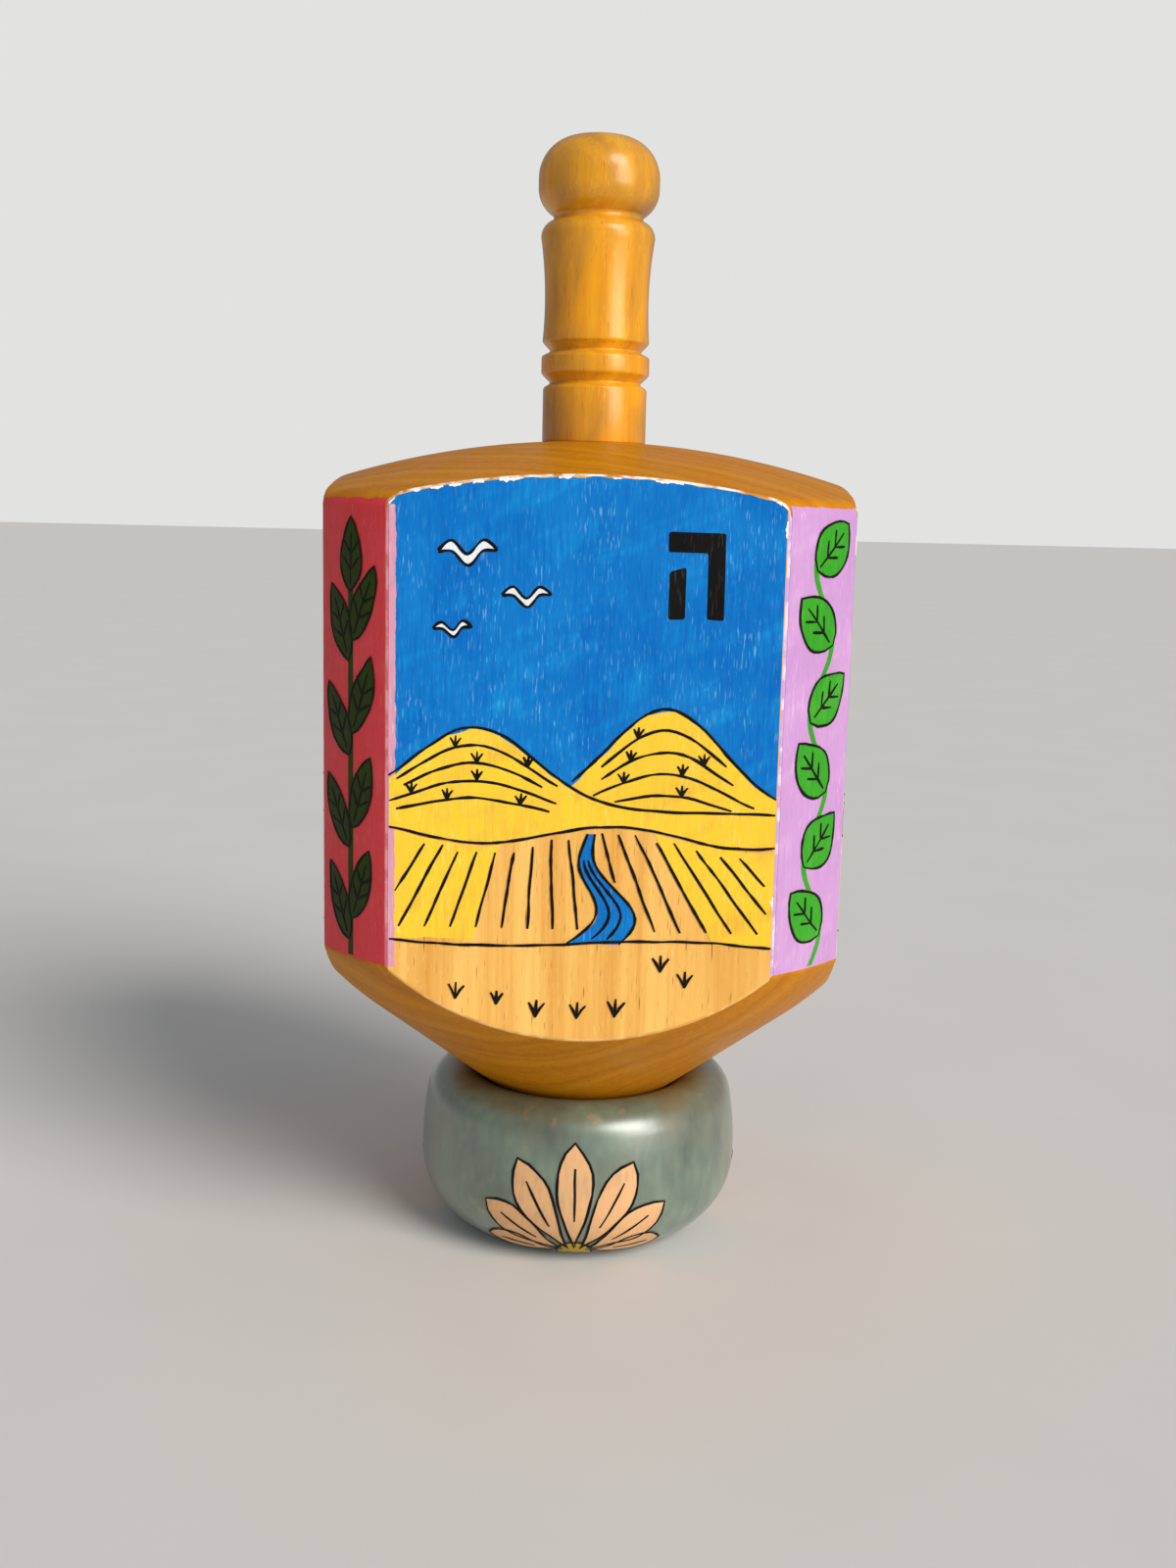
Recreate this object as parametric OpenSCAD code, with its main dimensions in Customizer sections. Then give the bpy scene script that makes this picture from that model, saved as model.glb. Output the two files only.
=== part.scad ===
// A wooden dreidel, a four-sided spinning top with a turned handle, resting point down in a turned stand.
// Sizes are in millimetres. Z points up, and the origin is the centre of the stand's foot.

/* [Body] */
// Width across opposite flat faces
body_w = 60; // [54:1:66]
// Diameter of the turning, which the four corner strips keep
turned_d = 74; // [70:0.5:76]
// Height of the straight corner strips
strip_h = 52; // [40:1:64]
// Radius of the domed top
dome_r = 100; // [70:5:160]
// Rounding where the dome meets the corner strips
edge_r = 0.8; // [0.4:0.1:2]
// Slope of the lower cone, in degrees above the horizontal
point_slope = 38; // [34:1:44]
// Slope at the lower end of the corner strips, in degrees above the horizontal
swell_slope = 56; // [50:1:62]
// Radius of the swelling curve between the cone and the corner strips
swell_r = 40; // [30:1:50]
// Rounding of the point that it spins on
tip_r = 2.5; // [1:0.5:4]

/* [Handle] */
// Diameter of the plain foot of the handle
base_d = 12.8; // [11.6:0.2:14]
// Height of the plain foot
base_h = 6.6; // [4:0.2:9]
// Diameter of the ring
ring_d = 13.3; // [11.6:0.1:14.5]
// Height of the ring
ring_h = 2.1; // [1.2:0.1:3.5]
// Diameter at the bottom of the two cut grooves
groove_d = 11; // [10:0.1:11.4]
// Height of a groove's lower face
groove_low_h = 0.6; // [0.4:0.1:1]
// Height of a groove's upper face
groove_high_h = 1.1; // [0.6:0.1:1.6]
// Diameter at the waist of the barrel
waist_d = 12.7; // [11.6:0.1:13.4]
// Height of the waist above the foot of the barrel
waist_h = 4.7; // [3:0.1:7]
// Height of the barrel, up to its shoulder
barrel_h = 12.4; // [10:0.2:16]
// Radius of the hollow curve of the barrel
hollow_r = 50; // [40:1:70]
// Rounding of the barrel's shoulder
shoulder_r = 2; // [1.8:0.1:2.4]
// Diameter of the neck
neck_d = 10.9; // [10.6:0.1:11.4]
// Height of the neck
neck_h = 0.6; // [0.3:0.1:1.5]
// Diameter of the knob
knob_d = 14.7; // [13.8:0.1:16]
// Rounding of the knob's underside
knob_low_r = 3.6; // [3:0.1:4]
// Height of the straight band round the knob
knob_band_h = 1.2; // [0.6:0.1:2.4]
// Rounding of the knob's top edge
knob_top_r = 4.85; // [4:0.05:6]
// Diameter of the tenon that is glued into the body
tenon_d = 9; // [7:0.5:10]
// Length of the tenon
tenon_l = 22; // [14:1:30]
// Bevel on the tenon's end
tenon_bevel = 0.8; // [0.4:0.1:1.5]
// Room for glue round the tenon
glue_gap = 0.1; // [0.05:0.01:0.2]
// Room below the tenon's end
glue_room = 1; // [0.5:0.1:2]
// Width of the flat land round the handle's foot
land_w = 0.5; // [0.3:0.1:1.5]

/* [Stand] */
// Height of the stand
stand_h = 20.8; // [16:0.1:24]
// Diameter at the belly
belly_d = 41; // [38:0.2:48]
// Height of the belly above the table
belly_h = 10.4; // [6:0.1:12]
// Radius of the barrelled side
side_r = 40; // [28:1:60]
// Rounding of the upper edge, outside its crown
top_round = 4; // [3:0.1:5.5]
// Rounding of the lower edge
foot_round = 9.4; // [3:0.1:10.5]
// Diameter of the cup that takes the point
mouth_d = 23.8; // [22:0.2:27]
// Thickness left under the cup
floor_h = 4.4; // [2.4:0.1:6]
// Clearance between the rounded mouth and the cone that rests on it
seat_gap = 0.2; // [0.1:0.05:0.4]

/* [Hidden] */
$fn = 96;
over = 1; // how far a cut runs past the face it opens
arc_gap = 0.01; // most that a chord of an outline's arc may lie inside it

// Points along an arc of a half outline, with angles in degrees from the radius outwards
function arc(centre, radius, from, to) =
  let (chord = 2 * acos(1 - arc_gap / radius))
  let (count = ceil(abs(to - from) / chord))
  [for (i = [0 : count]) centre + radius * polar(from + (to - from) * i / count)];

// Unit vector at an angle
function polar(angle) = [cos(angle), sin(angle)];

// All points but the first, for an arc that starts where the one before it ends
function after_first(points) = [for (i = [1 : len(points) - 1]) points[i]];

// Stand: its rounded edges touch the barrelled side without a corner, and its crown rounds into the mouth
side_centre = [belly_d / 2 - side_r, belly_h];
foot_angle = -asin((belly_h - foot_round) / (side_r - foot_round));
foot_centre = side_centre + (side_r - foot_round) * polar(foot_angle);
rim_angle = asin((stand_h - top_round - belly_h) / (side_r - top_round));
rim_centre = side_centre + (side_r - top_round) * polar(rim_angle);
mouth_r = mouth_d / 2;
mouth_round = rim_centre[0] - mouth_r;
mouth_centre = [rim_centre[0], stand_h - mouth_round];

// Seat: the cone touches the rounded mouth where both have the same slope
seat_angle = 90 + point_slope;
seat = mouth_centre + mouth_round * polar(seat_angle);
apex_z = seat[1] + seat_gap / cos(point_slope) - seat[0] * tan(point_slope);

// Body, from its point up: the cone touches the rounded tip and the swelling curve without a corner
body_r = turned_d / 2;
cone_angle = point_slope - 90;
swell_angle = swell_slope - 90;
tip_centre = [0, apex_z + tip_r / cos(point_slope)];
swell_centre_r = body_r - swell_r * cos(swell_angle);
cone_end_r = swell_centre_r + swell_r * cos(cone_angle);
swell_centre_z = apex_z + cone_end_r * tan(point_slope) - swell_r * sin(cone_angle);
swell_centre = [swell_centre_r, swell_centre_z];
strip_low_z = swell_centre_z + swell_r * sin(swell_angle);
strip_high_z = strip_low_z + strip_h;
edge_centre = [body_r - edge_r, strip_high_z];
edge_angle = acos(edge_centre[0] / (dome_r - edge_r));
dome_centre = [0, strip_high_z - (dome_r - edge_r) * sin(edge_angle)];

// Handle, from its land on the dome up
base_r = base_d / 2;
land_angle = acos((base_r + land_w) / dome_r);
land_z = dome_centre[1] + dome_r * sin(land_angle);
tenon_r = tenon_d / 2;
tenon_z = land_z - tenon_l;
groove_r = groove_d / 2;
groove_h = groove_low_h + groove_high_h;
base_z = land_z + base_h;
ring_r = ring_d / 2;
ring_low_z = base_z + groove_h;
ring_high_z = ring_low_z + ring_h;
barrel_z = ring_high_z + groove_h;
hollow_centre = [waist_d / 2 + hollow_r, barrel_z + waist_h];
hollow_low_angle = 180 + asin(waist_h / hollow_r);
hollow_high_angle = 180 - asin((barrel_h - waist_h) / hollow_r);
barrel_high_r = hollow_centre[0] + hollow_r * cos(hollow_high_angle);
neck_r = neck_d / 2;
shoulder_centre = [barrel_high_r - shoulder_r, barrel_z + barrel_h];
shoulder_angle = acos((neck_r - shoulder_centre[0]) / shoulder_r);
neck_z = shoulder_centre[1] + shoulder_r * sin(shoulder_angle);
knob_r = knob_d / 2;
knob_low_centre_r = knob_r - knob_low_r;
knob_low_angle = -acos((neck_r - knob_low_centre_r) / knob_low_r);
knob_low_centre = [knob_low_centre_r, neck_z + neck_h - knob_low_r * sin(knob_low_angle)];
knob_top_centre = [knob_r - knob_top_r, knob_low_centre[1] + knob_band_h];
knob_top_z = knob_top_centre[1] + knob_top_r;

// Half outline of the body as it is turned, before its four faces are planed flat
body_outline = concat(
  arc(tip_centre, tip_r, -90, cone_angle),
  arc(swell_centre, swell_r, cone_angle, swell_angle),
  arc(edge_centre, edge_r, 0, edge_angle),
  after_first(arc(dome_centre, dome_r, edge_angle, land_angle)),
  [[0, land_z]]
);

// Half outline of the handle and its tenon
handle_outline = concat(
  [[0, tenon_z], [tenon_r - tenon_bevel, tenon_z]],
  [[tenon_r, tenon_z + tenon_bevel], [tenon_r, land_z]],
  [[base_r, land_z], [base_r, base_z], [groove_r, base_z + groove_low_h]],
  [[ring_r, ring_low_z], [ring_r, ring_high_z], [groove_r, ring_high_z + groove_low_h]],
  arc(hollow_centre, hollow_r, hollow_low_angle, hollow_high_angle),
  after_first(arc(shoulder_centre, shoulder_r, 0, shoulder_angle)),
  arc(knob_low_centre, knob_low_r, knob_low_angle, 0),
  arc(knob_top_centre, knob_top_r, 0, 90),
  [[0, knob_top_z]]
);

// Half outline of the stand, up its outside and down into its cup
stand_outline = concat(
  [[0, 0]],
  arc(foot_centre, foot_round, -90, foot_angle),
  after_first(arc(side_centre, side_r, foot_angle, rim_angle)),
  after_first(arc(rim_centre, top_round, rim_angle, 90)),
  after_first(arc(mouth_centre, mouth_round, 90, 180)),
  [[mouth_r, floor_h], [0, floor_h]]
);

// Turned block with four planed faces, a domed top, a conical point and a blind bore for the handle
module body() {
  color("peru")
    difference() {
      intersection() {
        rotate_extrude()
          polygon(body_outline);
        translate([-body_w / 2, -body_w / 2, 0])
          cube([body_w, body_w, land_z + over]);
      }
      translate([0, 0, tenon_z - glue_room])
        cylinder(r = tenon_r + glue_gap, h = tenon_l + glue_room + over);
    }
}

// Turned spindle with a knob, glued into the top of the body
module handle() {
  color("goldenrod")
    rotate_extrude()
      polygon(handle_outline);
}

// Turned cup that holds the dreidel upright on its rounded mouth
module stand() {
  color("cadetblue")
    rotate_extrude()
      polygon(stand_outline);
}

body();
handle();
stand();
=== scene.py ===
from math import acos, asin, atan2, cos, exp, hypot, pi, radians, sin, sqrt, tan, tau
import random

import bmesh
import bpy
from mathutils import Matrix, Vector, noise


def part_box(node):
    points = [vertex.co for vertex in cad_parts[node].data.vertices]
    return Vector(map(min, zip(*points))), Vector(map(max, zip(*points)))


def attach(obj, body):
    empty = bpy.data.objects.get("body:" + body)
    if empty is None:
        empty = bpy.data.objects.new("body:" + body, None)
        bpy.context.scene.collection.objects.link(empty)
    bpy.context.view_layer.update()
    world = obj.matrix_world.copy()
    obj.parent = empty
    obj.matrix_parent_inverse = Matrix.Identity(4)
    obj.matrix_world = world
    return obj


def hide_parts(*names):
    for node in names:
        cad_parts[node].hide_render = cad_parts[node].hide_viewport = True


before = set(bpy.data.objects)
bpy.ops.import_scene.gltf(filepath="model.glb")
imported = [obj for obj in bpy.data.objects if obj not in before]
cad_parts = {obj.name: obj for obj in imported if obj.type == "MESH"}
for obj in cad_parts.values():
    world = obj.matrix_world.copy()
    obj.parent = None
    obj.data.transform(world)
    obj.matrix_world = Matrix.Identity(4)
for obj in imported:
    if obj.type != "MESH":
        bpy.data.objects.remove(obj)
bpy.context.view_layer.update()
bpy.context.scene.view_settings.view_transform = "Standard"

# Stand: a small cup turned from one block of wood, with barrelled sides and a blind hole for the point.
# It is painted grey-green with a brush and varnished. The inside of its round lip, its hole and its foot are
# bare wood.
mm = 0.001
stand_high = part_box("stand")[1]
stand_h = stand_high.z
belly_r = stand_high.x
belly_z = 10.4 * mm
side_r = 40 * mm
top_round = 4 * mm
foot_round = 9.4 * mm
mouth_r = 11.9 * mm
cup_floor_z = 4.4 * mm
bare_lip = 1.2 * mm
stand_edge_round = 0.12 * mm
crease = radians(28)
turning_steps = 192
weld = 0.0005 * mm


def arc(centre, radius, start, end, count):
    """Points (radius, height) along an arc of a turned outline, with angles from straight out."""
    angles = [start + (end - start) * i / count for i in range(count + 1)]
    return [(centre[0] + radius * cos(a), centre[1] + radius * sin(a)) for a in angles]


def turn_on_lathe(outline, steps):
    """Closed shell of an outline of (radius, height) points turned about the upright axis."""
    shell = bmesh.new()
    points = [shell.verts.new((r, 0, z)) for r, z in outline]
    edges = [shell.edges.new(pair) for pair in zip(points, points[1:])]
    bmesh.ops.spin(shell, geom=points + edges, axis=(0, 0, 1), angle=tau, steps=steps, use_merge=True)
    bmesh.ops.remove_doubles(shell, verts=shell.verts, dist=weld)
    bmesh.ops.recalc_face_normals(shell, faces=shell.faces)
    return shell


def sharp_edges(shell, angle):
    """Edges at which a shell turns by more than an angle."""
    return [e for e in shell.edges if e.is_manifold and e.calc_face_angle() > angle]


def soften_edges(shell, angle, width):
    """Round the sharp edges of a shell as sanding does."""
    bmesh.ops.bevel(
        shell, geom=sharp_edges(shell, angle), offset=width, offset_type="OFFSET", affect="EDGES",
        segments=3, profile=0.5, material=-1, clamp_overlap=True,
    )


def add_object(name, data):
    """Add an object to the scene."""
    added = bpy.data.objects.new(name, data)
    bpy.context.collection.objects.link(added)
    return added


def make_piece(name, shell, materials, body):
    """Turn a shell into a piece of the object that rides on a body."""
    for face in shell.faces:
        face.smooth = True
    for edge in sharp_edges(shell, crease):
        edge.smooth = False
    mesh = bpy.data.meshes.new(name)
    shell.to_mesh(mesh)
    shell.free()
    for material in materials:
        mesh.materials.append(material)
    piece = add_object(name, mesh)
    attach(piece, body)
    return piece


def colour(red, green, blue):
    """Linear colour of a shade given as it is mixed on a screen, 0 to 255."""
    parts = [c / 255 for c in (red, green, blue)]
    return [c / 12.92 if c <= 0.04045 else ((c + 0.055) / 1.055) ** 2.4 for c in parts] + [1]


def put(tree, kind, inputs, **settings):
    """Add a node with its settings, and with inputs that are values or other nodes' outputs."""
    made = tree.nodes.new("ShaderNode" + kind)
    for key, value in settings.items():
        setattr(made, key, value)
    for key, value in inputs.items():
        if isinstance(value, bpy.types.NodeSocket):
            tree.links.new(value, made.inputs[key])
        else:
            made.inputs[key].default_value = value
    return made


def mixed(tree, factor, low, high):
    """Colour between two others."""
    return put(tree, "Mix", {0: factor, 6: low, 7: high}, data_type="RGBA").outputs[2]


def spread(tree, value, low, high, to_low=0.0, to_high=1.0):
    """A value stretched from one range to another, and kept in it."""
    limits = {"From Min": low, "From Max": high, "To Min": to_low, "To Max": to_high}
    return put(tree, "MapRange", {"Value": value, **limits}).outputs[0]


def sums(tree, first, share_first, second, share_second):
    """Two values added, each with its own share."""
    part = put(tree, "Math", {0: first, 1: share_first}, operation="MULTIPLY").outputs[0]
    return put(tree, "Math", {0: second, 1: share_second, 2: part}, operation="MULTIPLY_ADD").outputs[0]


def effect_group(name, outputs):
    """An empty node group that reads a place on the object and puts out values."""
    group = bpy.data.node_groups.new(name, "ShaderNodeTree")
    group.interface.new_socket("Vector", in_out="INPUT", socket_type="NodeSocketVector")
    for output in outputs:
        group.interface.new_socket(output, in_out="OUTPUT", socket_type="NodeSocketFloat")
    start = group.nodes.new("NodeGroupInput")
    end = group.nodes.new("NodeGroupOutput")
    return group, start.outputs["Vector"], end


def stretched_noise(tree, spot, scale, shift, **inputs):
    """Noise drawn out along the axes that have a small scale."""
    moved = put(tree, "Mapping", {"Vector": spot, "Scale": scale, "Location": shift})
    return put(tree, "TexNoise", {"Vector": moved.outputs[0], **inputs}).outputs[0]


def product(tree, first, second):
    """Two values multiplied."""
    return put(tree, "Math", {0: first, 1: second}, operation="MULTIPLY").outputs[0]


# Grain of the wood, upright in every piece: bands, which are growth rings about a pith outside the blocks,
# fine streaks, short dark pores and short pale flecks.
pith = (0.06, 0.11, 0)
timber, spot, end = effect_group("wood_grain", ("Bands", "Streaks", "Pores", "Flecks"))
flat_spot = put(timber, "VectorMath", {0: spot, 1: (1, 1, 0)}, operation="MULTIPLY").outputs[0]
growth_r = put(timber, "VectorMath", {0: flat_spot, 1: pith}, operation="DISTANCE").outputs["Value"]
wander = stretched_noise(timber, spot, (1, 1, 0.2), (0.2, 0.1, 0), Scale=60, Detail=2)
growth_r = sums(timber, growth_r, 1.0, wander, 6 * mm)
bands = put(timber, "TexNoise", {"W": growth_r, "Scale": 420, "Detail": 2}, noise_dimensions="1D").outputs[0]
streaks = stretched_noise(timber, spot, (1, 1, 0.035), (0, 0, 0), Scale=1500, Detail=3, Roughness=0.6)
pores = stretched_noise(timber, spot, (1, 1, 0.08), (0.7, 0.3, 0), Scale=4400, Detail=1)
flecks = stretched_noise(timber, spot, (1, 1, 0.12), (0.4, 0.8, 0), Scale=5200, Detail=1)
patches = stretched_noise(timber, spot, (1, 1, 0.5), (0.1, 0.9, 0), Scale=210, Detail=2)
timber.links.new(spread(timber, bands, 0.32, 0.68), end.inputs["Bands"])
timber.links.new(spread(timber, streaks, 0.3, 0.7), end.inputs["Streaks"])
timber.links.new(spread(timber, pores, 0.65, 0.76), end.inputs["Pores"])
flecks = spread(timber, flecks, 0.6, 0.74)
flecks = product(timber, flecks, spread(timber, patches, 0.42, 0.62, 0.15, 1.0))
timber.links.new(flecks, end.inputs["Flecks"])

# Marks of the brush in every paint: hair-fine strokes, patches where the coat is thin, and slanting smears.
brush, spot, end = effect_group("brush_marks", ("Strokes", "Thin", "Smears"))
strokes = stretched_noise(brush, spot, (1, 1, 0.1), (0.5, 0, 0), Scale=2600, Detail=3, Distortion=0.3)
thin = stretched_noise(brush, spot, (1, 1, 0.55), (0, 0.6, 0), Scale=130, Detail=5, Distortion=0.8)
slanted = put(
    brush, "Mapping", {"Vector": spot, "Rotation": (0, -0.45, 0), "Scale": (3.5, 2, 1)},
    vector_type="TEXTURE",
).outputs[0]
smears = put(brush, "TexNoise", {"Vector": slanted, "Scale": 330, "Detail": 4, "Distortion": 0.5}).outputs[0]
brush.links.new(spread(brush, strokes, 0.28, 0.72), end.inputs["Strokes"])
brush.links.new(spread(brush, thin, 0.3, 0.72), end.inputs["Thin"])
brush.links.new(spread(brush, smears, 0.5, 0.74), end.inputs["Smears"])


def varnished(name, gloss, sheen=0.28):
    """A new material under clear varnish, or none: its tree, its shader and the place on the object."""
    material = bpy.data.materials.new(name)
    material.use_nodes = True
    tree = material.node_tree
    skin = tree.nodes["Principled BSDF"]
    skin.inputs["Coat Weight"].default_value = gloss
    skin.inputs["Coat Roughness"].default_value = 0.24
    skin.inputs["Specular IOR Level"].default_value = sheen
    return material, tree, skin, put(tree, "TexCoord", {}).outputs["Object"]


def finish_surface(tree, skin, shade, polish, low_rough, high_rough, height, depth):
    """Join a colour, a gloss that varies and a relief to the shader."""
    tree.links.new(shade, skin.inputs["Base Color"])
    tree.links.new(spread(tree, polish, 0, 1, low_rough, high_rough), skin.inputs["Roughness"])
    relief = put(tree, "Bump", {"Height": height, "Strength": 0.6, "Distance": depth})
    tree.links.new(relief.outputs[0], skin.inputs["Normal"])


def wood(name, pale, deep, pore, fleck, gloss, sheen=0.28, pore_share=0.4, smudge=None, smudge_share=0.0):
    """Varnished wood with upright grain, and with handling smudges where a colour for them is given."""
    material, tree, skin, spot = varnished(name, gloss, sheen)
    grain = put(tree, "Group", {"Vector": spot}, node_tree=timber).outputs
    marks = put(tree, "Group", {"Vector": spot}, node_tree=brush).outputs
    tone = sums(tree, grain["Bands"], 0.6, grain["Streaks"], 0.4)
    shade = mixed(tree, tone, colour(*pale), colour(*deep))
    if smudge:
        shade = mixed(tree, product(tree, marks["Thin"], smudge_share), shade, colour(*smudge))
    shade = mixed(tree, product(tree, grain["Pores"], pore_share), shade, colour(*pore))
    shade = mixed(tree, product(tree, grain["Flecks"], 0.35), shade, colour(*fleck))
    height = sums(tree, grain["Streaks"], 0.5, grain["Pores"], -0.8)
    finish_surface(tree, skin, shade, marks["Thin"], 0.3, 0.5, height, 0.03 * mm)
    return material


def brushed_paint(name, full, thin, fleck, thin_share, fleck_share, gloss=0.06, sheen=0.1):
    """Brushed paint: thin patches and smears change its colour, and the grain below shows as flecks."""
    material, tree, skin, spot = varnished(name, gloss, sheen)
    grain = put(tree, "Group", {"Vector": spot}, node_tree=timber).outputs
    marks = put(tree, "Group", {"Vector": spot}, node_tree=brush).outputs
    cover = sums(tree, marks["Thin"], 0.45 * thin_share, marks["Strokes"], 0.35 * thin_share)
    smeared = product(tree, marks["Smears"], marks["Strokes"])
    cover = sums(tree, cover, 1.0, smeared, 0.9 * thin_share)
    shade = mixed(tree, cover, colour(*full), colour(*thin))
    shade = mixed(tree, product(tree, grain["Flecks"], fleck_share), shade, colour(*fleck))
    height = sums(tree, marks["Strokes"], 0.7, grain["Streaks"], 0.3)
    finish_surface(tree, skin, shade, marks["Thin"], 0.3, 0.52, height, 0.03 * mm)
    return material


def stand_coat():
    """Cloudy grey-green paint, browner where it is thin and rubbed off to the wood round the mouth."""
    material, tree, skin, spot = varnished("stand_grey_green", 1.0, 1.0)
    skin.inputs["Coat Roughness"].default_value = 0.3
    strokes = stretched_noise(tree, spot, (1, 1, 0.3), (0, 0, 0), Scale=700, Detail=4, Distortion=0.5)
    cloudy = stretched_noise(tree, spot, (1, 1, 0.8), (0.3, 0.3, 0), Scale=110, Detail=5, Distortion=0.4)
    tone = sums(tree, strokes, 0.3, cloudy, 0.7)
    shade = mixed(tree, spread(tree, tone, 0.36, 0.64), colour(70, 88, 78), colour(116, 136, 118))
    browned = stretched_noise(tree, spot, (1, 1, 1), (0.9, 0.4, 0.1), Scale=60, Detail=4, Distortion=0.6)
    shade = mixed(tree, spread(tree, browned, 0.46, 0.66, 0.0, 0.6), shade, colour(112, 100, 72))
    specks = stretched_noise(tree, spot, (1, 1, 1), (0.6, 0.1, 0.2), Scale=330, Detail=3)
    shade = mixed(tree, spread(tree, specks, 0.65, 0.77, 0.0, 0.5), shade, colour(176, 150, 112))
    across = put(tree, "VectorMath", {0: spot, 1: (1, 1, 0)}, operation="MULTIPLY").outputs[0]
    radius = put(tree, "VectorMath", {0: across}, operation="LENGTH").outputs["Value"]
    frayed = sums(tree, radius, 1.0, specks, 1.6 * mm)
    rubbed = spread(tree, frayed, paint_end_r, paint_end_r + 0.5 * mm, 1.0, 0.0)
    upper = put(tree, "SeparateXYZ", {0: spot}).outputs[2]
    rubbed = product(tree, rubbed, spread(tree, upper, 0.8 * stand_h, 0.9 * stand_h))
    shade = mixed(tree, rubbed, shade, colour(196, 150, 98))
    finish_surface(tree, skin, shade, cloudy, 0.3, 0.4, strokes, 0.02 * mm)
    return material


quarter = pi / 2
side_centre = (belly_r - side_r, belly_z)
foot_angle = -asin((belly_z - foot_round) / (side_r - foot_round))
rim_angle = asin((stand_h - top_round - belly_z) / (side_r - top_round))
foot_centre = (side_centre[0] + (side_r - foot_round) * cos(foot_angle), foot_round)
rim_centre = (side_centre[0] + (side_r - top_round) * cos(rim_angle), stand_h - top_round)
mouth_round = rim_centre[0] - mouth_r
paint_end_r = mouth_r + 0.62 * mouth_round
mouth_centre = (rim_centre[0], stand_h - mouth_round)
stand_outline = [
    (0, 0),
    *arc(foot_centre, foot_round, -quarter, foot_angle, 24),
    *arc(side_centre, side_r, foot_angle, rim_angle, 20)[1:],
    *arc(rim_centre, top_round, rim_angle, quarter, 14)[1:],
    *arc(mouth_centre, mouth_round, quarter, pi, 16)[1:],
    (mouth_r, cup_floor_z),
    (0, cup_floor_z),
]
stand_shell = turn_on_lathe(stand_outline, turning_steps)
for face in stand_shell.faces:
    middle = face.calc_center_median()
    inside = middle.xy.length < mouth_r + bare_lip and middle.z > cup_floor_z - mm
    face.material_index = 1 if inside or middle.z < 0.01 * mm else 0
soften_edges(stand_shell, radians(30), stand_edge_round)
stand_bare = wood("stand_bare_wood", (205, 158, 100), (158, 110, 62), (112, 72, 38), (222, 184, 132), 0.1)
stand = make_piece("turned_stand", stand_shell, [stand_coat(), stand_bare], "stand")
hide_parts("stand")

# Paint on the stand: three fans of salmon petals round an ochre bud, each drawn round with a pen.
# The coats are brushed on, so they stand a few hundredths of a millimetre proud of the grey-green.
# Paintwork is drawn in millimetres. A lift is its height above the surface, and the bed its depth below.
bed = 0.03
petal_lift = 0.05
bud_lift = 0.1
ink_lift = 0.1
pen_width = 0.34
fan_count = 3
fan_half_angle = 80
fan_foot = 6
petal_count = 7
petal_width = 4.5
side_petal_l = 10.8
upright_petal_extra = 4.4
bud_r = 2.7
ink = brushed_paint("black_ink", (12, 10, 10), (28, 25, 22), (60, 52, 44), 0.6, 0.25, 0.0, 0.12)
noise.seed_set(1)  # otherwise the sway of the pen would follow the clock


def hand_drawn(points, seed, sway=0.14):
    """A line as a hand draws it: (across, up, pressure) with a slow sway, lighter at both ends."""
    line = []
    for i, (u, v) in enumerate(points):
        drift = noise.noise_vector(Vector((0.3 * u, 0.3 * v, seed)))
        press = 0.9 + 0.5 * noise.noise(Vector((0.9 * u, 0.9 * v, seed + 7)))
        ends = 0.65 if i in (0, len(points) - 1) else 1
        line.append((u + sway * drift.x, v + sway * drift.y, press * ends))
    return line


def paint_coat(outline, lift):
    """Flat coat of paint with an outline of (across, up) points, lying in the plane z = 0."""
    coat = bmesh.new()
    corners = [coat.verts.new((u * mm, v * mm, -bed * mm)) for u, v in outline]
    raised = bmesh.ops.extrude_face_region(coat, geom=[coat.faces.new(corners)])["geom"]
    upper = [g for g in raised if isinstance(g, bmesh.types.BMVert)]
    bmesh.ops.translate(coat, verts=upper, vec=(0, 0, (bed + lift) * mm))
    bmesh.ops.triangulate(coat, faces=coat.faces)
    bmesh.ops.recalc_face_normals(coat, faces=coat.faces)
    return coat


def pen_lines(lines, lift, width=pen_width):
    """Ink lines as low beads, each a list of (across, up, pressure)."""
    pen = bpy.data.curves.new("pen", "CURVE")
    pen.dimensions = "3D"
    pen.bevel_depth = width / 2 * mm
    pen.bevel_resolution = 1
    pen.use_fill_caps = True
    for line in lines:
        spline = pen.splines.new("POLY")
        spline.points.add(len(line) - 1)
        for point, (u, v, press) in zip(spline.points, line):
            point.co = (u * mm, v * mm, 0, 1)
            point.radius = press
    holder = bpy.data.objects.new("pen", pen)
    drawn = bpy.data.meshes.new_from_object(holder)
    beads = bmesh.new()
    beads.from_mesh(drawn)
    bmesh.ops.scale(beads, verts=beads.verts, vec=(1, 1, 0.16))
    bmesh.ops.translate(beads, verts=beads.verts, vec=(0, 0, lift * mm))
    bmesh.ops.recalc_face_normals(beads, faces=beads.faces)
    bpy.data.objects.remove(holder)
    bpy.data.curves.remove(pen)
    bpy.data.meshes.remove(drawn)
    return beads


def gather(target, part):
    """Add a part's faces to a piece's shell."""
    carrier = bpy.data.meshes.new("carrier")
    part.to_mesh(carrier)
    part.free()
    target.from_mesh(carrier)
    bpy.data.meshes.remove(carrier)


def cut_at(part, axis, place):
    """Cut a coat straight across one of its axes."""
    normal = Vector((axis == 0, axis == 1, 0))
    geom = [*part.verts, *part.edges, *part.faces]
    bmesh.ops.bisect_plane(part, geom=geom, plane_co=normal * place, plane_no=normal)


def cut_every(part, axis, step):
    """Cut a coat into narrow columns or rows, so that it can follow a curved surface."""
    along = [v.co[axis] for v in part.verts]
    place = min(along) + step
    while place < max(along):
        cut_at(part, axis, place)
        place += step


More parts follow.
